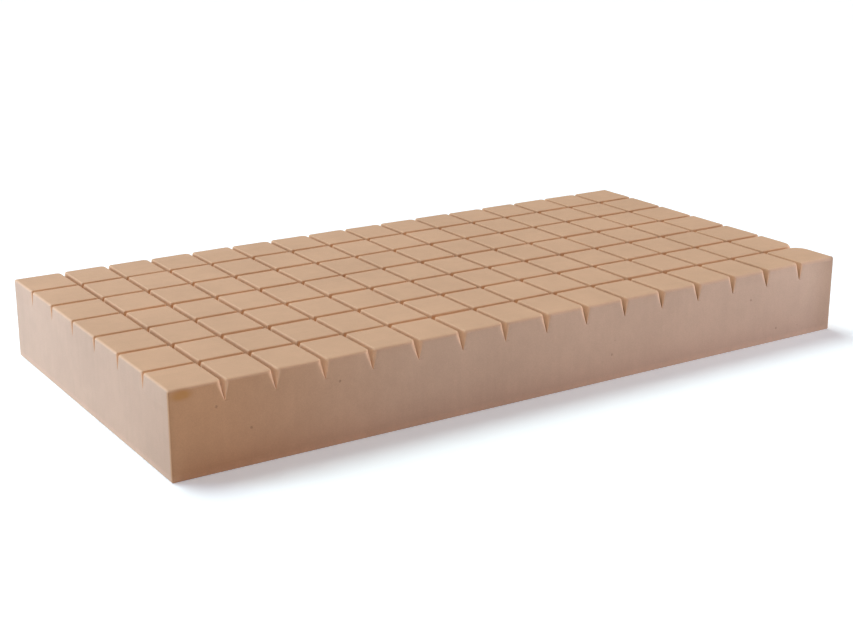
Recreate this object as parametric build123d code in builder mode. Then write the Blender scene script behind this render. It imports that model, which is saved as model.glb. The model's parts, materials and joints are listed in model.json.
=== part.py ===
from build123d import *
import os

# A bare castellated memory foam mattress, in millimetres.
# X runs along the length, Y across the width and Z up, from the centre of the underside.
# The block is one moulding. Its cuts part it into cells, rows and strips, and each has its own node:
#   base_strip_NN  the full-width strip of uncut foam under one row of cells
#   bend_web_NN    the wedge of foam below one cross cut, which stretches when the mattress bends there
#   cell_row_NN    the row of cells that stands on one strip and squashes under a load
# NN counts from the -X end.

# Driving dimensions
LENGTH = 1905.0
WIDTH = 965.0
THICKNESS = 203.0
ROWS = 16  # rows of cells along the length
CELLS = 7  # cells across the width, in each row
END_PITCH = 124.5  # from each end face to the middle of the nearest cross cut

# The cuts are V shaped, with a narrow flat root. The cross cuts are the deeper ones.
CROSS_CUT_DEPTH = 46.0
CROSS_CUT_MOUTH = 12.0
LONG_CUT_DEPTH = 38.0
LONG_CUT_MOUTH = 11.0
CUT_ROOT = 2.0

WEB_FOOT = 30.0  # width of a bend web at the underside, which is the room for bending backwards

# Levels and spacings worked out from them
END = LENGTH / 2
SIDE = WIDTH / 2
PITCH = (LENGTH - 2 * END_PITCH) / (ROWS - 2)
CELL_STEP = (WIDTH + LONG_CUT_MOUTH) / CELLS
ROOT_Z = THICKNESS - CROSS_CUT_DEPTH  # every bend turns about this level
FLOOR_Z = THICKNESS - LONG_CUT_DEPTH  # the cells stand on this level
CROSS_LEAN = (CROSS_CUT_MOUTH - CUT_ROOT) / 2 / CROSS_CUT_DEPTH


def cut_x(cut):
    """Middle of cross cut 1 to ROWS - 1, counted from the -X end."""
    return -END + END_PITCH + (cut - 1) * PITCH


def cross_cut_half(z):
    """Half the width of a cross cut at level z."""
    return CUT_ROOT / 2 + CROSS_LEAN * (z - ROOT_Z)


def strip_edges(row, half):
    """The -X and +X edges of a row that keeps half clear of the cuts beside it."""
    low = -END if row == 1 else cut_x(row - 1) + half
    high = END if row == ROWS else cut_x(row) - half
    return low, high


def outline(plane, *corners):
    """A flat face with straight sides, in the first axis of its plane and Z."""
    with BuildSketch(plane) as face:
        with BuildLine():
            Polyline(*corners, close=True)
        make_face()
    return face.sketch


def finish(piece, name):
    piece.label = name
    export_step(piece, f"parts/{name}.step")


os.makedirs("parts", exist_ok=True)

# Base strips: six-sided bars, widest at the root of the cuts
for row in range(1, ROWS + 1):
    foot_low, foot_high = strip_edges(row, WEB_FOOT / 2)
    root_low, root_high = strip_edges(row, CUT_ROOT / 2)
    top_low, top_high = strip_edges(row, cross_cut_half(FLOOR_Z))
    section = outline(
        Plane.XZ,
        (foot_low, 0),
        (foot_high, 0),
        (root_high, ROOT_Z),
        (top_high, FLOOR_Z),
        (top_low, FLOOR_Z),
        (root_low, ROOT_Z),
    )
    with BuildPart() as base_strip:
        extrude(section, amount=SIDE, both=True)
    finish(base_strip.part, f"base_strip_{row:02d}")

# Bend webs: a wedge below each cross cut, touching the strips on both sides
for cut in range(1, ROWS):
    middle = cut_x(cut)
    section = outline(
        Plane.XZ,
        (middle - WEB_FOOT / 2, 0),
        (middle + WEB_FOOT / 2, 0),
        (middle + CUT_ROOT / 2, ROOT_Z),
        (middle - CUT_ROOT / 2, ROOT_Z),
    )
    with BuildPart() as bend_web:
        extrude(section, amount=SIDE, both=True)
    finish(bend_web.part, f"bend_web_{cut:02d}")

# Cell rows: a bar with the cross cuts' slope on its long sides, parted by the long cuts into separate cells
with BuildSketch(Plane.YZ) as end_view:
    for cell in range(CELLS):
        low = -SIDE + cell * CELL_STEP
        high = low + CELL_STEP - LONG_CUT_MOUTH
        spread = (LONG_CUT_MOUTH - CUT_ROOT) / 2
        foot_low = low if cell == 0 else low - spread
        foot_high = high if cell == CELLS - 1 else high + spread
        with BuildLine():
            Polyline((foot_low, FLOOR_Z), (foot_high, FLOOR_Z), (high, THICKNESS), (low, THICKNESS), close=True)
        make_face()

for row in range(1, ROWS + 1):
    foot_low, foot_high = strip_edges(row, cross_cut_half(FLOOR_Z))
    top_low, top_high = strip_edges(row, CROSS_CUT_MOUTH / 2)
    section = outline(
        Plane.XZ,
        (foot_low, FLOOR_Z),
        (foot_high, FLOOR_Z),
        (top_high, THICKNESS),
        (top_low, THICKNESS),
    )
    with BuildPart() as cell_row:
        extrude(section, amount=SIDE, both=True)
        extrude(end_view.sketch, amount=END, both=True, mode=Mode.INTERSECT)
    finish(cell_row.part, f"cell_row_{row:02d}")
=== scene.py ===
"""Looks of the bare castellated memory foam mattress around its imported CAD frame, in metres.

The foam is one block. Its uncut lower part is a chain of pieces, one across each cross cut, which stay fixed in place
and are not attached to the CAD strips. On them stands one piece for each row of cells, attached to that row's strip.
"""

import json
import math
import random

import bmesh
import bpy
import numpy as np
from mathutils import Matrix, Vector


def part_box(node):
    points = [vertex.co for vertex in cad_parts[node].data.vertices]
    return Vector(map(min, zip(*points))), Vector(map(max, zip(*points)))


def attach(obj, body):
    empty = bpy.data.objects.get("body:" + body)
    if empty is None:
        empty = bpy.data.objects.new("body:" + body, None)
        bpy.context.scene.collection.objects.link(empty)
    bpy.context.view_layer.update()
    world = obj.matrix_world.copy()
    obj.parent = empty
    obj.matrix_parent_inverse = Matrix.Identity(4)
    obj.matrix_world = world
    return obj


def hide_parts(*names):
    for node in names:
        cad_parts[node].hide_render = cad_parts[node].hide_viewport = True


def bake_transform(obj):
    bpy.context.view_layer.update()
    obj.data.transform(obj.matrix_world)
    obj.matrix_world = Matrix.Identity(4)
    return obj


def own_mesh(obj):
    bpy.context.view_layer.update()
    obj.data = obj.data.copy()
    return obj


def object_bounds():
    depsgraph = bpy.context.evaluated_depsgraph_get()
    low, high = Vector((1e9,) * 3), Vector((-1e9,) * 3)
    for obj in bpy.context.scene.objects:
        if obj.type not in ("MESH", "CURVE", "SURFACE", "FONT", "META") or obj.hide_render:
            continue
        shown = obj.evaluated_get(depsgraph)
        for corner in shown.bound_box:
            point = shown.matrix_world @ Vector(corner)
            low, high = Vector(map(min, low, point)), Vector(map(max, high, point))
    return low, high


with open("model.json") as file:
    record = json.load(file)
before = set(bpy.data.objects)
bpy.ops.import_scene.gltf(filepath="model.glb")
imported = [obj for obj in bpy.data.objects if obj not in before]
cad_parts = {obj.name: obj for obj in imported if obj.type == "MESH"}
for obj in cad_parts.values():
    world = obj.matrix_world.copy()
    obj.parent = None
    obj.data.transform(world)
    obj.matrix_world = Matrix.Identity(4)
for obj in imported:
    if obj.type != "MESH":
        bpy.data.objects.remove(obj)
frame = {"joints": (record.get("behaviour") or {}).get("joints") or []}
cad_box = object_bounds()

# ---------------------------------------------------------------- sizes taken from the frame
LOW, HIGH = cad_box
TOP = HIGH.z
JOINTS = {joint["name"]: joint for joint in frame["joints"]}
CUT_X = [JOINTS[name]["pos_m"][0] for name in sorted(JOINTS) if name.startswith("bend_")]
ROOT_Z = JOINTS["bend_01"]["pos_m"][2]  # tip of the cross cuts
FLOOR_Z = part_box("cell_row_01")[0].z  # tip of the long cuts
ROWS = len(CUT_X) + 1
ROW_EDGES = [LOW.x, *CUT_X, HIGH.x]

# ---------------------------------------------------------------- cuts
CELLS = 7
CROSS_MOUTH, LONG_MOUTH = 0.0128, 0.0112  # width of each kind of cut at the top
LONG_WEAR = 0.28  # how much wider the long cuts have worn at the right end, as a share of their mouth
ROOT_HALF = 0.0003  # half of a cross cut's width at its tip
WALL_CURVE, CORNER_CURVE = 0.9, 0.8  # powers by which a cut and its corners' rounding open up from tip to top
CELL_STEP = (HIGH.y - LOW.y + LONG_MOUTH) / CELLS
LONG_Y = [LOW.y + CELL_STEP * cell - LONG_MOUTH / 2 for cell in range(1, CELLS)]
CELL_EDGES = [LOW.y, *LONG_Y, HIGH.y]

# the sides of a cell, in the order in which every list of four values for them runs
SOUTH, EAST, NORTH, WEST = range(4)
TIP_Z = (FLOOR_Z, ROOT_Z, FLOOR_Z, ROOT_Z)  # tip of the cut on each side

# ---------------------------------------------------------------- how the foam's edges are worn
END_RIM = {"left": 0.0055, "right": 0.0045}  # rounding where the top meets the block's ends
SIDE_RIM = {"left": 0.0055, "right": 0.0105}  # and where it meets the long sides, more worn to the right
LIP = 0.0028  # rounding where the top meets a cut
BLOCK_CORNER = 0.003  # rounding of the block's four upright edges and of its bottom edge
CELL_CORNER = 0.0032  # plan rounding of a cell's corner inside the block
CROSS_FLARE = {"before": 0.015, "after": 0.008}  # plan rounding to the left and right of a cross cut in a long side
LONG_FLARE = 0.0045  # plan rounding where a long cut runs out through an end
WORN_FLARE = 0.036  # the same where the first long cut is worn wide open, at the right end
WORN_CORNERS = {(ROWS - 1, 0, EAST), (ROWS - 1, 1, SOUTH)}  # row, cell and side of the two corners there

# ---------------------------------------------------------------- how the cells differ
UNEVEN = 0.0004  # most that a wall stands out or in, at the top
CORNER_SPREAD = (0.85, 1.2)  # least and most share of a corner's rounding
TILT = 0.0004  # most that a cell leans each way, as height at its edge
SINK = 0.0005  # most that its highest corner sits below the top

# ---------------------------------------------------------------- how the pieces meet
TENON = 0.005  # how far a row reaches down into the base, hidden
TENON_INSET = {"side": 0.0004, "cut": 0.0012}  # how far in it stands there, below the block's sides and the cuts
PROUD = 0.00015  # how far a row's outer sides stand out of the base's, so that they never share a plane
WELD = 2e-5  # points of a piece that are closer than this are one
TINY_EDGE = 1e-6  # edges shorter than this are left out
SMOOTH_BELOW = math.radians(40)  # edges that turn less than this are shaded smooth

# ---------------------------------------------------------------- fineness of the meshes
SIDE_STEPS, ARC_STEPS, RIM_STEPS = 10, 6, 5
FOOT_LEVELS = (0.0, 0.2, 0.45, 0.7, 1.0)  # from the tip of the cross cuts to that of the long cuts
WALL_LEVELS = (0.06, 0.14, 0.3, 0.5, 0.75, 1.0)  # from there to the rim
TOP_SHRINK = (0.955, 0.88, 0.74, 0.55, 0.3)  # the rings across the top, as shares of its outline
HIDDEN_RINGS = 2
JOINED_RING = HIDDEN_RINGS + len(FOOT_LEVELS) - 1  # number of the last ring where neighbouring cells are one
RIM_RING = JOINED_RING + len(WALL_LEVELS)  # and of the last one below the rim
BASE_SIDE_STEPS, BASE_FLOOR_STEPS, BASE_STEP = 10, 24, 0.007

# ---------------------------------------------------------------- how strongly the painted highlight on the worn edges is marked
RIM_HIGHLIGHT = 1.6  # over the rim, where it peaks at a quarter of this
RIM_HIGHLIGHT_FADE_IN_CUTS = 0.9  # the share of it that is missing along the cuts
FOOT_HIGHLIGHT, FOOT_HIGHLIGHT_HEIGHT = 0.4, 3 * BLOCK_CORNER  # at the block's foot, fading upwards
CUT_STARTS = 0.01  # how far open a cut must be to count as one

chance = random.Random(7)


def smoothstep(x):
    x = np.clip(x, 0, 1)
    return x * x * (3 - 2 * x)


# ---------------------------------------------------------------- cells
def side_shares():
    """For each point of a cell's outline, how much it belongs to each of the four sides."""
    shares = []
    for side in range(4):
        following = (side + 1) % 4
        for _ in range(SIDE_STEPS + 1):
            shares.append([float(side == s) for s in range(4)])
        for step in range(1, ARC_STEPS):
            turned = math.sin(step / ARC_STEPS * math.pi / 2) ** 2
            shares.append([(1 - turned) * (side == s) + turned * (following == s) for s in range(4)])
    return np.array(shares)


SHARES = side_shares()
OUTLINE = len(SHARES)  # number of points in a cell's outline
SIDE_POINTS = OUTLINE // 4  # those of one side and of the corner that ends it


def rounded_outline(south, east, north, west, radii):
    """Points of a rectangle with rounded corners, anticlockwise from the south side's west end.
    radii are those of the corners that end the south, east, north and west sides."""
    corners = [(east, south), (east, north), (west, north), (west, south)]
    inward = [(-1, 1), (-1, -1), (1, -1), (1, 1)]
    along = [(1, 0), (0, 1), (-1, 0), (0, -1)]
    points = []
    for side in range(4):
        before, after = radii[side - 1], radii[side]
        start, end, way = Vector(corners[side - 1]), Vector(corners[side]), Vector(along[side])
        first, last = start + way * before, end - way * after
        for step in range(SIDE_STEPS + 1):
            points.append(first.lerp(last, step / SIDE_STEPS))
        centre = end + Vector(inward[side]) * after
        for step in range(1, ARC_STEPS):
            angle = math.radians(90 * side - 90 + 90 * step / ARC_STEPS)
            points.append(centre + Vector((math.cos(angle), math.sin(angle))) * after)
    return np.array(points)


def opened(side, z):
    """How far the cut on a side of a cell is open at height z: 0 at its tip, 1 at the top."""
    return max(0.0, (z - TIP_Z[side]) / (TOP - TIP_Z[side]))


class Cell:
    """One cell: where its four sides stand at each height, and how its corners are rounded."""

    def __init__(self, row, cell):
        wear = row / (ROWS - 1)
        long_mouth = LONG_MOUTH * (1 + LONG_WEAR * wear)
        side_rim = SIDE_RIM["left"] * (1 - wear) + SIDE_RIM["right"] * wear
        rims = (side_rim, END_RIM["right"], side_rim, END_RIM["left"])
        self.outer = (cell == 0, row == ROWS - 1, cell == CELLS - 1, row == 0)
        self.line = (CELL_EDGES[cell], ROW_EDGES[row + 1], CELL_EDGES[cell + 1], ROW_EDGES[row])
        self.half = [mouth / 2 for mouth in (long_mouth, CROSS_MOUTH, long_mouth, CROSS_MOUTH)]
        self.uneven = [chance.uniform(-UNEVEN, UNEVEN) for _ in range(4)]
        self.rim = [rim if outer else LIP for rim, outer in zip(rims, self.outer)]
        self.corner = [self.corner_size(row, cell, side) for side in range(4)]
        self.tilt = Vector((chance.uniform(-TILT, TILT), chance.uniform(-TILT, TILT)))
        self.drop = abs(self.tilt.x) + abs(self.tilt.y) + chance.uniform(0, SINK)

    def corner_size(self, row, cell, side):
        """Plan rounding at the top of the corner that ends a side."""
        sides = (side, (side + 1) % 4)
        outer = [s for s in sides if self.outer[s]]
        if len(outer) == 2:
            return BLOCK_CORNER
        size = CELL_CORNER
        if outer:
            flare = CROSS_FLARE["before" if EAST in sides else "after"]
            size = LONG_FLARE if outer[0] in (EAST, WEST) else flare
        size *= chance.uniform(*CORNER_SPREAD)
        return WORN_FLARE if (row, cell, side) in WORN_CORNERS else size

    def stand(self, side, z, inset):
        """Where a side stands at height z, moved inward by inset."""
        gap = -PROUD
        if not self.outer[side]:
            root = ROOT_HALF if side in (EAST, WEST) else 0.0
            gap = root + (self.half[side] - root) * opened(side, z) ** WALL_CURVE
            # below the long cuts' tips the cells of a row are one, so none of them may differ there
            gap += self.uneven[side] * opened(SOUTH, z) ** WALL_CURVE
        sign = 1 if side in (SOUTH, WEST) else -1
        return self.line[side] + sign * (gap + inset)

    def radius(self, side, z, inset):
        """Plan rounding at height z of the corner that ends a side, moved inward by inset."""
        cuts = [s for s in (side, (side + 1) % 4) if not self.outer[s]]
        share = min((opened(s, z) for s in cuts), default=1.0)
        return max(self.corner[side] * share**CORNER_CURVE - inset, 0.0)

    def ring(self, heights, insets):
        """Points of the outline with each side at its own height and inset."""
        stands = [self.stand(side, heights[side], insets[side]) for side in range(4)]
        radii = []
        for side in range(4):
            after = (side + 1) % 4
            z, inset = (heights[side] + heights[after]) / 2, (insets[side] + insets[after]) / 2
            radii.append(self.radius(side, z, inset))
        return np.column_stack([rounded_outline(*stands, radii), SHARES @ np.array(heights)])

    def rings(self):
        """All rings from the hidden tenon, up the walls, over the rim and across the top, and the top's middle."""
        below_cut = (0.0, TENON_INSET["cut"], 0.0, TENON_INSET["cut"])
        hidden = [TENON_INSET["side"] if self.outer[side] else below_cut[side] for side in range(4)]
        none = [0.0] * 4
        rings = [self.ring([z] * 4, hidden) for z in (ROOT_Z - TENON, ROOT_Z)]
        rings += [self.ring([ROOT_Z + level * (FLOOR_Z - ROOT_Z)] * 4, none) for level in FOOT_LEVELS]
        for level in WALL_LEVELS:
            rings.append(self.ring([FLOOR_Z + level * (TOP - rim - FLOOR_Z) for rim in self.rim], none))
        for step in range(1, RIM_STEPS + 1):
            angle = math.pi / 2 * step / RIM_STEPS
            heights = [TOP - rim * (1 - math.sin(angle)) for rim in self.rim]
            rings.append(self.ring(heights, [rim * (1 - math.cos(angle)) for rim in self.rim]))
        middle = rings[-1].mean(0)
        rings += [middle + (rings[-1] - middle) * share for share in TOP_SHRINK]
        for ring in rings:
            self.settle(ring, middle)
        return rings, middle - (0, 0, self.drop)

    def settle(self, ring, middle):
        """Lowers and tilts the cell a little, more towards its top."""
        share = smoothstep((ring[:, 2] - FLOOR_Z) / (TOP - FLOOR_Z))
        lean = (ring[:, :2] - middle[:2]) @ np.array(self.tilt) / (CELL_STEP / 2)
        ring[:, 2] -= share * (self.drop + lean)

    def marks(self, rings):
        """How much each point of each ring is on a side of the block, in a cut, or under the painted highlight of a
        worn edge.
        """
        marks = []
        for level, ring in enumerate(rings):
            z = ring[:, 2].max()
            is_cut = [float(not self.outer[side] and opened(side, z) > CUT_STARTS) for side in range(4)]
            in_cut = SHARES @ np.array(is_cut)
            # from 0 on the walls to 1 on the top; the painted highlight on the rim's worn edge peaks halfway
            turned = min(1.0, max(0.0, (level - RIM_RING) / RIM_STEPS))
            rim = RIM_HIGHLIGHT * turned * (1 - turned) * (1 - RIM_HIGHLIGHT_FADE_IN_CUTS * in_cut)
            # a painted highlight on the flared corner between a cut and a side of the block
            flare = 4 * in_cut * (1 - in_cut) * (1 - turned)
            painted_highlight = np.maximum(rim, flare)
            marks.append(np.column_stack([(1 - in_cut) * (1 - turned), in_cut * (1 - turned), painted_highlight]))
        return marks


def cell_faces(cell, first, ring_count):
    """Quads between the rings of one cell whose points start at index first, left out where two cells join."""
    faces = []
    joined = {side for side in (SOUTH, NORTH) if not cell.outer[side]}
    for level in range(ring_count - 1):
        low, high = first + level * OUTLINE, first + (level + 1) * OUTLINE
        for point in range(OUTLINE):
            side, place = divmod(point, SIDE_POINTS)
            if level < JOINED_RING and side in joined and place < SIDE_STEPS:
                continue
            following = (point + 1) % OUTLINE
            faces.append((low + point, low + following, high + following, high + point))
    last = first + (ring_count - 1) * OUTLINE
    middle = last + OUTLINE
    faces += [(last + point, last + (point + 1) % OUTLINE, middle) for point in range(OUTLINE)]
    faces.append(tuple(first + point for point in reversed(range(OUTLINE))))
    return faces


def add_object(name, data):
    thing = bpy.data.objects.new(name, data)
    bpy.context.scene.collection.objects.link(thing)
    return thing


def new_piece(name, points, faces, marks):
    """A welded, smooth-shaded mesh object. For the foam material it stores where each point lies at rest, and
    how much it is on a side of the block, in a cut, or under the painted highlight of a worn edge."""
    mesh = bpy.data.meshes.new(name)
    mesh.from_pydata([tuple(p) for p in points], [], faces)
    place = np.array(points, np.float32)
    mesh.attributes.new("rest", "FLOAT_VECTOR", "POINT").data.foreach_set("vector", place.ravel())
    for column, mark in enumerate(("outer", "cut", "painted_highlight")):
        values = np.ascontiguousarray(marks[:, column], np.float32)
        mesh.attributes.new(mark, "FLOAT", "POINT").data.foreach_set("value", values)
    shape = bmesh.new()
    shape.from_mesh(mesh)
    bmesh.ops.remove_doubles(shape, verts=shape.verts, dist=WELD)
    bmesh.ops.dissolve_degenerate(shape, edges=shape.edges, dist=TINY_EDGE)
    unused = [vertex for vertex in shape.verts if not vertex.link_faces]
    bmesh.ops.delete(shape, geom=unused, context="VERTS")
    bmesh.ops.recalc_face_normals(shape, faces=shape.faces)
    shape.to_mesh(mesh)
    shape.free()
    mesh.polygons.foreach_set("use_smooth", [True] * len(mesh.polygons))
    mesh.set_sharp_from_angle(angle=SMOOTH_BELOW)
    return add_object(name, mesh)


def make_cell_row(row):
    points, faces, marks = [], [], []
    for index in range(CELLS):
        cell = Cell(row, index)
        rings, middle = cell.rings()
        faces += cell_faces(cell, len(points), len(rings))
        for ring in rings:
            points.extend(ring)
        points.append(middle)
        marks += cell.marks(rings)
        marks.append(np.zeros((1, 3)))
    return new_piece(f"cells_{row + 1:02d}", points, faces, np.vstack(marks))


# ---------------------------------------------------------------- uncut lower part
def quarter_arc(radius):
    """How far a rounded edge stands in from each of its two flat sides, from the one to the other."""
    angles = [math.pi / 2 * step / ARC_STEPS for step in range(ARC_STEPS + 1)]
    return [(radius * (1 - math.cos(angle)), radius * (1 - math.sin(angle))) for angle in angles]


def base_section(x, inset):
    """Outline of the uncut foam at one place along the length, from its top front edge round to its top back edge."""
    floor = LOW.z + inset
    radius = max(BLOCK_CORNER - inset, 0.0)
    uprights = []
    for y, inward in ((LOW.y + inset, 1), (HIGH.y - inset, -1)):
        down = floor + radius - ROOT_Z
        upright = [(y, ROOT_Z + down * step / BASE_SIDE_STEPS) for step in range(BASE_SIDE_STEPS)]
        upright += [(y + inward * run, floor + rise) for run, rise in quarter_arc(radius)]
        uprights.append(upright)
    front, back = uprights
    start, width = front[-1][0], back[-1][0] - front[-1][0]
    under = [(start + width * step / BASE_FLOOR_STEPS, floor) for step in range(1, BASE_FLOOR_STEPS)]
    return [(x, y, z) for y, z in front + under + back[::-1]]


def make_base_piece(cut):
    """The uncut foam around one cross cut, from the middle of one strip to the middle of the next."""
    first, last = cut == 0, cut == len(CUT_X) - 1
    start = LOW.x if first else (ROW_EDGES[cut] + ROW_EDGES[cut + 1]) / 2
    end = HIGH.x if last else (ROW_EDGES[cut + 1] + ROW_EDGES[cut + 2]) / 2
    rounding = quarter_arc(BLOCK_CORNER)
    places = [(start + run, inset) for run, inset in rounding] if first else [(start, 0.0)]
    from_x = places[-1][0]
    to_x = end - (BLOCK_CORNER if last else 0.0)
    steps = round((to_x - from_x) / BASE_STEP)
    places += [(from_x + (to_x - from_x) * step / steps, 0.0) for step in range(1, steps + 1)]
    if last:
        places += [(end - run, inset) for run, inset in reversed(rounding[:-1])]
    points = [point for x, inset in places for point in base_section(x, inset)]
    across = len(points) // len(places)
    faces = [
        (low + point, low + across + point, low + across + (point + 1) % across, low + (point + 1) % across)
        for low in range(0, len(points) - across, across)
        for point in range(across)
    ]
    faces.append(tuple(reversed(range(across))))
    faces.append(tuple(range(len(points) - across, len(points))))
    # a painted highlight along the block's foot, fading upwards
    height = np.array([point[2] for point in points]) - LOW.z
    painted_highlight = FOOT_HIGHLIGHT * (1 - smoothstep(height / FOOT_HIGHLIGHT_HEIGHT))
    marks = np.column_stack([np.ones(len(points)), np.zeros(len(points)), painted_highlight])
    return new_piece(f"base_{cut + 1:02d}", points, faces, marks)


# ---------------------------------------------------------------- foam material
class Nodes:
    """Short calls for building one material's nodes."""

    def __init__(self, name):
        self.material = bpy.data.materials.new(name)
        self.material.use_nodes = True
        self.tree = self.material.node_tree
        self.tree.nodes.clear()

    def add(self, kind, settings=None, **inputs):
        """A new node. An input is given by its name, or by its number as i0, i1 and so on."""
        node = self.tree.nodes.new(kind)
        for key, value in (settings or {}).items():
            setattr(node, key, value)
        for key, value in inputs.items():
            by_number = key[0] == "i" and key[1:].isdigit()
            self.feed(node.inputs[int(key[1:]) if by_number else key], value)
        return node

    def feed(self, socket, value):
        if isinstance(value, bpy.types.NodeSocket):
            self.tree.links.new(value, socket)
        else:
            socket.default_value = value

    def math(self, operation, a, b=0.0, clamp=False):
        settings = {"operation": operation, "use_clamp": clamp}
        return self.add("ShaderNodeMath", settings, i0=a, i1=b).outputs[0]

    def times(self, a, b, clamp=False):
        return self.math("MULTIPLY", a, b, clamp)

    def mix(self, share, a, b, blend="MIX"):
        settings = {"data_type": "RGBA", "blend_type": blend}
        return self.add("ShaderNodeMix", settings, i0=share, i6=a, i7=b).outputs[2]

    def span(self, value, low, high, to_low=0.0, to_high=1.0):
        """Turns low to high into to_low to to_high, smoothly, and holds it beyond them."""
        settings = {"interpolation_type": "SMOOTHSTEP"}
        return self.add("ShaderNodeMapRange", settings, i0=value, i1=low, i2=high, i3=to_low, i4=to_high).outputs[0]

    def attribute(self, name, output):
        return self.add("ShaderNodeAttribute", {"attribute_name": name}).outputs[output]

    def stretched(self, place, scale):
        return self.add("ShaderNodeMapping", Vector=place, Scale=scale).outputs[0]

    def noise(self, place, scale, detail=2.0, roughness=0.5):
        inputs = {"Vector": place, "Scale": scale, "Detail": detail, "Roughness": roughness}
        return self.add("ShaderNodeTexNoise", **inputs).outputs[0]

    def nearness(self, place, centre, half_size):
        """1 at the centre, falling to 0 at the edge of an ellipsoid."""
        shifted = self.add("ShaderNodeVectorMath", {"operation": "SUBTRACT"}, i0=place, i1=centre).outputs[0]
        scaled = self.add("ShaderNodeVectorMath", {"operation": "DIVIDE"}, i0=shifted, i1=half_size).outputs[0]
        away = self.add("ShaderNodeVectorMath", {"operation": "LENGTH"}, i0=scaled).outputs["Value"]
        return self.span(away, 0.25, 1.0, 1.0, 0.0)

    def finish(self, surface):
        self.add("ShaderNodeOutputMaterial", Surface=surface.outputs[0])
        return self.material


TOP_TAN = (0.60, 0.375, 0.232, 1)
SIDE_TAN = (0.555, 0.393, 0.287, 1)
# painted light on the cut walls, then painted light and painted shade for the bottom of the cuts
CUT_WALL_PAINTED_LIGHT_TAN = (0.76, 0.50, 0.31, 1)
CUT_BOTTOM_PAINTED_LIGHT_TAN = (0.87, 0.595, 0.395, 1)
CUT_BOTTOM_PAINTED_SHADE_TAN = (0.50, 0.30, 0.17, 1)
# painted highlight on the worn edges
EDGE_PAINTED_HIGHLIGHT_TAN = (0.85, 0.585, 0.395, 1)
# painted shade on the near long side's left part
NEAR_SIDE_PAINTED_SHADE_TAN = (0.51, 0.295, 0.162, 1)
GREYED_TAN = (0.425, 0.285, 0.195, 1)
# painted shade in the pits
PIT_PAINTED_SHADE_BROWN = (0.20, 0.115, 0.07, 1)
STAIN_OCHRE = (0.47, 0.24, 0.085, 1)

# where the tints change, along X
NEAR_SIDE_SHADE_X = (-1.0, -0.25)  # near long side, fading to the right
GREYED_X = (0.84, 0.97)  # near long side, growing to the right
# painted shade at the bottom of the cuts, growing to the right
CUT_BOTTOM_SHADE_X = (-0.6, 0.4)  # bottom of the cuts, growing to the right
# painted highlight on the worn edges, fading at the right end
HIGHLIGHT_X, HIGHLIGHT_SHARES = (0.93, 0.952), (0.85, 0.4)  # worn edges, fading at the right end
NEAR_SIDE_Y = (-0.480, -0.472)  # where the near long side's tints stop

# places on the near long side, as distance from the middle along X and height
STAIN, STAIN_HALF_SIZE, STAIN_SHARE = (-0.925, 0.188), (0.034, 0.03, 0.017), 0.95
PITS = ((-0.849, 0.148), (-0.771, 0.085), (-0.557, 0.146), (0.199, 0.066), (0.656, 0.129), (0.753, 0.037))
PIT_HALF_SIZE = (0.0045, 0.004, 0.0045)
# a pit's darkness is a painted shade in its hollow
PIT_SHADE_SHARE, PIT_DEPTH = 0.4, 2.5  # how dark a pit is, and how deep beside the bump's other parts
BUBBLE_SCALE, BUBBLE_EDGE = 24.0, (0.03, 0.055)
SCATTERED = 0.93  # bubbles whose draw is above this get a pit

# how high the bump's parts stand beside each other, and how strong it is in all
PORES_HEIGHT, WAVES_HEIGHT, SAW_HEIGHT = 0.5, 0.9, 0.35
BUMP_STRENGTH, BUMP_DISTANCE = 0.35, 0.0012


def foam_colour(n, rest, outer):
    """The foam's tints, with their painted light and shade, before mottling."""
    cut = n.attribute("cut", "Fac")
    painted_highlight = n.attribute("painted_highlight", "Fac")
    colour = n.mix(n.span(outer, 0.25, 0.95), TOP_TAN, SIDE_TAN)
    # the near long side has a painted shade, darker and more orange, towards its left end, and is a little greyer at
    # its right end
    x, y, z = n.add("ShaderNodeSeparateXYZ", Vector=rest).outputs
    near_side = n.times(outer, n.span(y, *NEAR_SIDE_Y, 1.0, 0.0))
    colour = n.mix(n.times(near_side, n.span(x, *NEAR_SIDE_SHADE_X, 1.0, 0.0)), colour, NEAR_SIDE_PAINTED_SHADE_TAN)
    colour = n.mix(n.times(near_side, n.span(x, *GREYED_X)), colour, GREYED_TAN)
    # the cut walls are painted lighter than the top, a painted light; at the bottom they get more painted light to
    # the left and a painted shade to the right
    cut_bottom_light_and_shade = n.mix(n.span(x, *CUT_BOTTOM_SHADE_X), CUT_BOTTOM_PAINTED_LIGHT_TAN, CUT_BOTTOM_PAINTED_SHADE_TAN)
    colour = n.mix(cut, colour, n.mix(n.span(z, ROOT_Z, TOP, 1.0, 0.0), CUT_WALL_PAINTED_LIGHT_TAN, cut_bottom_light_and_shade))
    # worn edges get a pale painted highlight, those of the right end the least
    return n.mix(n.times(painted_highlight, n.span(x, *HIGHLIGHT_X, *HIGHLIGHT_SHARES)), colour, EDGE_PAINTED_HIGHLIGHT_TAN)


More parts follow.
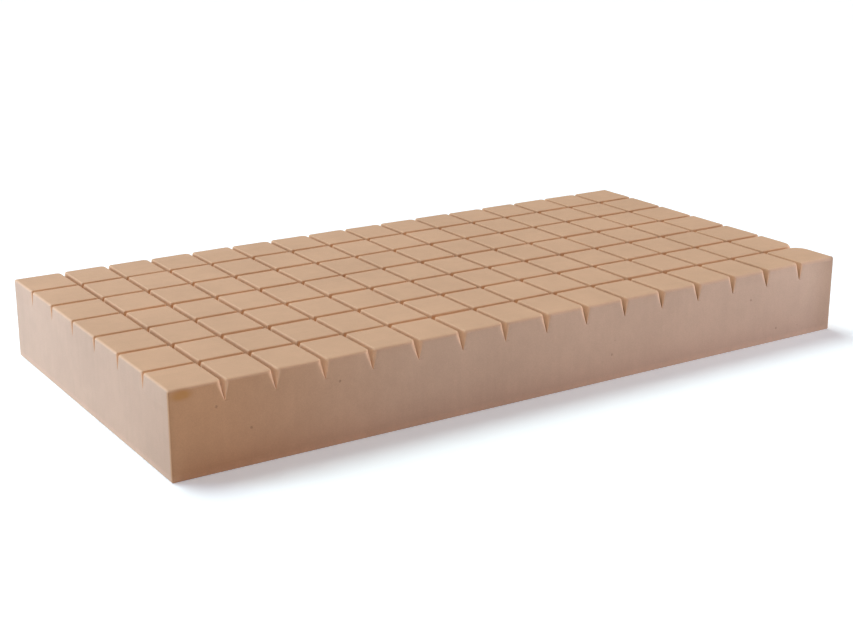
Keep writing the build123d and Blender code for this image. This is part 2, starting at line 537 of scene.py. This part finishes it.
def foam_material():
    n = Nodes("memory_foam")
    rest = n.attribute("rest", "Vector")
    outer = n.attribute("outer", "Fac")
    colour = foam_colour(n, rest, outer)

    # mottling from the foaming, in three sizes
    clouds = n.span(n.noise(rest, 5.0, 3.0), 0.3, 0.7, 0.96, 1.03)
    patches = n.span(n.noise(rest, 32.0, 3.0), 0.3, 0.7, 0.98, 1.015)
    grain = n.span(n.noise(rest, 420.0), 0.25, 0.75, 0.955, 1.04)
    # saw marks run along the top and up the sides
    along = n.noise(n.stretched(rest, (3.0, 240.0, 3.0)), 1.0)
    upwards = n.noise(n.stretched(rest, (60.0, 60.0, 4.0)), 1.0, 4.0)
    on_top = n.times(n.span(along, 0.3, 0.7, 0.985, 1.012), n.math("SUBTRACT", 1.0, outer))
    on_side = n.times(n.span(upwards, 0.3, 0.7, 0.986, 1.01), outer)
    tone = n.times(n.times(clouds, patches), n.times(grain, n.math("ADD", on_side, on_top)))
    shade = n.add("ShaderNodeCombineColor", Red=tone, Green=tone, Blue=tone).outputs[0]
    colour = n.mix(1.0, colour, shade, "MULTIPLY")

    # open bubbles, 2 to 4 mm wide: a few scattered on every sawn side, and those of the near long side
    bubbles = n.add("ShaderNodeTexVoronoi", {"feature": "F1"}, Vector=rest, Scale=BUBBLE_SCALE)
    draw = n.add("ShaderNodeSeparateColor", Color=bubbles.outputs["Color"]).outputs[0]
    pit = n.span(bubbles.outputs["Distance"], *BUBBLE_EDGE, 1.0, 0.0)
    pit = n.times(pit, n.math("GREATER_THAN", draw, SCATTERED))
    for x, z in PITS:
        pit = n.math("MAXIMUM", pit, n.nearness(rest, (x, LOW.y, z), PIT_HALF_SIZE))
    pit = n.times(pit, outer)
    # the pits are darkened with a painted shade in their hollows
    colour = n.mix(n.times(pit, PIT_SHADE_SHARE), colour, PIT_PAINTED_SHADE_BROWN)

    # the stain at the near left top corner, with a wavering edge
    x, z = STAIN
    wavering = n.math("ADD", n.times(n.noise(rest, 90.0, 3.0), 0.8), 0.6)
    stain = n.times(n.nearness(rest, (x, LOW.y, z), STAIN_HALF_SIZE), wavering, clamp=True)
    stain = n.times(stain, n.span(outer, 0.1, 0.6))
    colour = n.mix(n.times(stain, STAIN_SHARE), colour, STAIN_OCHRE)

    # open cells of the foam, saw marks and pits, as bump
    pores = n.times(n.noise(rest, 900.0, 2.0, 0.6), PORES_HEIGHT)
    waves = n.times(n.noise(rest, 60.0), WAVES_HEIGHT)
    height = n.math("ADD", n.math("ADD", pores, waves), n.times(upwards, SAW_HEIGHT))
    height = n.math("SUBTRACT", height, n.times(pit, PIT_DEPTH))
    bump = n.add("ShaderNodeBump", Strength=BUMP_STRENGTH, Distance=BUMP_DISTANCE, Height=height).outputs[0]

    inputs = {
        "Base Color": colour,
        "Roughness": n.span(grain, 0.95, 1.05, 0.88, 0.98),
        "Normal": bump,
        "Specular IOR Level": 0.12,
        "Sheen Weight": 0.12,
        "Sheen Roughness": 0.6,
    }
    return n.finish(n.add("ShaderNodeBsdfPrincipled", **inputs))


# ---------------------------------------------------------------- assembly on the CAD bodies
foam = foam_material()

for row in range(ROWS):
    number = f"{row + 1:02d}"
    piece = make_cell_row(row)
    piece.data.materials.append(foam)
    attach(piece, f"strip_{number}")
    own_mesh(piece)
    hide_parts(f"cell_row_{number}")

for cut, x in enumerate(CUT_X):
    near, far = f"{cut + 1:02d}", f"{cut + 2:02d}"
    piece = make_base_piece(cut)
    piece.data.materials.append(foam)
    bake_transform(piece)
    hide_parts(f"base_strip_{near}", f"bend_web_{near}", f"base_strip_{far}")


# ---------------------------------------------------------------- stage, light and camera
FLOOR_RADIUS, FLOOR_SEGMENTS, FLOOR_ROUGHNESS = 60.0, 96, 0.9
FLOOR_WHITE, FLOOR_SEEN_WHITE = (0.965, 0.965, 0.97, 1), (0.98, 0.98, 0.98, 1)
FLOOR_GLOW, FLOOR_GLOW_STRENGTH = (0.54, 0.83, 1.0, 1), 0.24
AMBIENT = (0.295, 0.201, 0.172, 1)
BACKDROP = (1.0, 1.0, 1.0, 1)
SUNS = (  # name, where the light comes from, strength, colour and width in degrees
    ("above", (-0.12, 0.5, 0.86), 2.47, (0.80, 0.97, 1.0), 34),
    ("right", (0.95, -0.13, 0.16), 1.3, (1.0, 0.82, 0.68), 20),
)
SOFTBOXES = (  # name, place, target, width, height, power and colour
    ("far left", (-3.3, 1.25, 0.8), (-0.95, 0.4, 0.1), 1.2, 1.0, 54, (0.65, 0.79, 1.0)),
    ("near left", (-2.6, -2.6, 0.4), (-0.8, -0.45, 0.1), 1.6, 0.8, 1, (1.0, 0.85, 0.75)),
    ("near right", (2.0, -2.0, 0.38), (0.75, -0.45, 0.08), 1.2, 0.6, 20, (0.68, 0.78, 1.0)),
)
CAMERA_PLACE = (-2.057, -3.168, 1.262)
CAMERA_YAW, CAMERA_PITCH = math.radians(32.67), math.radians(16.37)  # turned right from +Y, and down
SENSOR_WIDTH, LENS, SHIFT_Y, CLIP_END = 36.0, 63.85, -0.04, 200.0


def floor_material():
    """Pale and matt. Only the camera sees its bluish glow, which evens it out into the white backdrop and keeps
    the shadows grey."""
    n = Nodes("pale_floor")
    matt = {"Base Color": FLOOR_WHITE, "Roughness": FLOOR_ROUGHNESS}
    glow = {"Emission Color": FLOOR_GLOW, "Emission Strength": FLOOR_GLOW_STRENGTH}
    lit = n.add("ShaderNodeBsdfPrincipled", **matt)
    seen = n.add("ShaderNodeBsdfPrincipled", **(matt | {"Base Color": FLOOR_SEEN_WHITE} | glow))
    rays = n.add("ShaderNodeLightPath").outputs["Is Camera Ray"]
    return n.finish(n.add("ShaderNodeMixShader", i0=rays, i1=lit.outputs[0], i2=seen.outputs[0]))


def make_floor():
    mesh = bpy.data.meshes.new("floor")
    shape = bmesh.new()
    bmesh.ops.create_circle(shape, cap_ends=True, radius=FLOOR_RADIUS, segments=FLOOR_SEGMENTS)
    shape.to_mesh(mesh)
    shape.free()
    mesh.materials.append(floor_material())
    floor = add_object("floor", mesh)


def make_world():
    """Even light from all round, with a backdrop that only the camera sees."""
    world = bpy.data.worlds.new("studio")
    world.use_nodes = True
    tree = world.node_tree
    background = tree.nodes["Background"]
    background.inputs["Color"].default_value = AMBIENT
    seen = tree.nodes.new("ShaderNodeBackground")
    seen.inputs["Color"].default_value = BACKDROP
    rays = tree.nodes.new("ShaderNodeLightPath")
    mix = tree.nodes.new("ShaderNodeMixShader")
    tree.links.new(rays.outputs["Is Camera Ray"], mix.inputs[0])
    tree.links.new(background.outputs[0], mix.inputs[1])
    tree.links.new(seen.outputs[0], mix.inputs[2])
    tree.links.new(mix.outputs[0], tree.nodes["World Output"].inputs[0])
    bpy.context.scene.world = world


def make_lights():
    for name, towards, strength, colour, width in SUNS:
        light = bpy.data.lights.new(name, "SUN")
        light.energy, light.color, light.angle = strength, colour, math.radians(width)
        add_object(name, light).rotation_euler = Vector(towards).to_track_quat("Z", "Y").to_euler()
    for name, place, target, width, height, power, colour in SOFTBOXES:
        light = bpy.data.lights.new(name, "AREA")
        light.shape = "RECTANGLE"
        light.size, light.size_y = width, height
        light.energy, light.color = power, colour
        box = add_object(name, light)
        box.location = place
        box.rotation_euler = (Vector(target) - Vector(place)).to_track_quat("-Z", "Y").to_euler()
        box.visible_camera = False


def make_camera():
    camera = bpy.data.cameras.new("camera")
    camera.sensor_width = SENSOR_WIDTH
    camera.lens = LENS
    camera.shift_y = SHIFT_Y
    camera.clip_end = CLIP_END
    holder = add_object("camera", camera)
    turn = Matrix.Rotation(-CAMERA_YAW, 4, "Z") @ Matrix.Rotation(math.pi / 2 - CAMERA_PITCH, 4, "X")
    holder.matrix_world = Matrix.Translation(CAMERA_PLACE) @ turn
    bpy.context.scene.camera = holder


make_floor()
make_world()
make_lights()
make_camera()
bpy.context.scene.view_settings.view_transform = "Standard"
